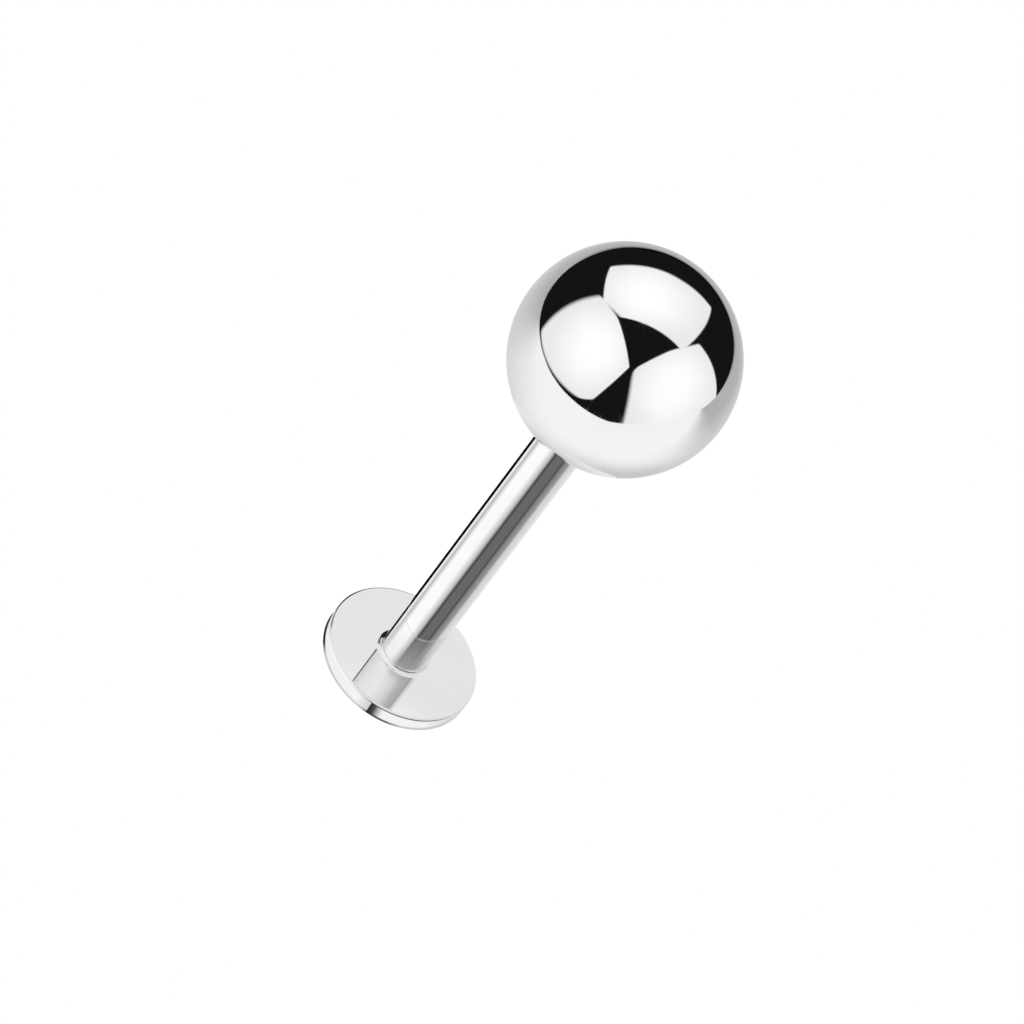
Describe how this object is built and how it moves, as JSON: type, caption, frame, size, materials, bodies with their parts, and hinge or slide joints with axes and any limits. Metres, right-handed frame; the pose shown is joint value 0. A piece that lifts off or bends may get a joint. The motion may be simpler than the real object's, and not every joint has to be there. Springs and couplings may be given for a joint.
{
  "type": "labret stud",
  "caption": "Polished steel labret stud: a flat round back disc with a straight hollow post, and a ball end whose pin pushes into the post.",
  "frame": {"origin": "centre of the disc's flat back face, which the stud stands on", "axes": "+Z along the post from the disc to the ball; the part is round about Z, so X and Y are free"},
  "size_m": [0.0052, 0.0052, 0.0145],
  "materials": {
    "post_steel": "mirror-polished surgical steel",
    "ball_steel": "mirror-polished surgical steel"
  },
  "bodies": {
    "back_post": {"flat_back_post": "post_steel"},
    "front_end": {"ball_end": "ball_steel"}
  },
  "joints": [
    {"name": "end_pull", "type": "slide", "parent": "back_post", "child": "front_end", "axis": [0, 0, 1], "range_m": [0, 0.01]}
  ]
}
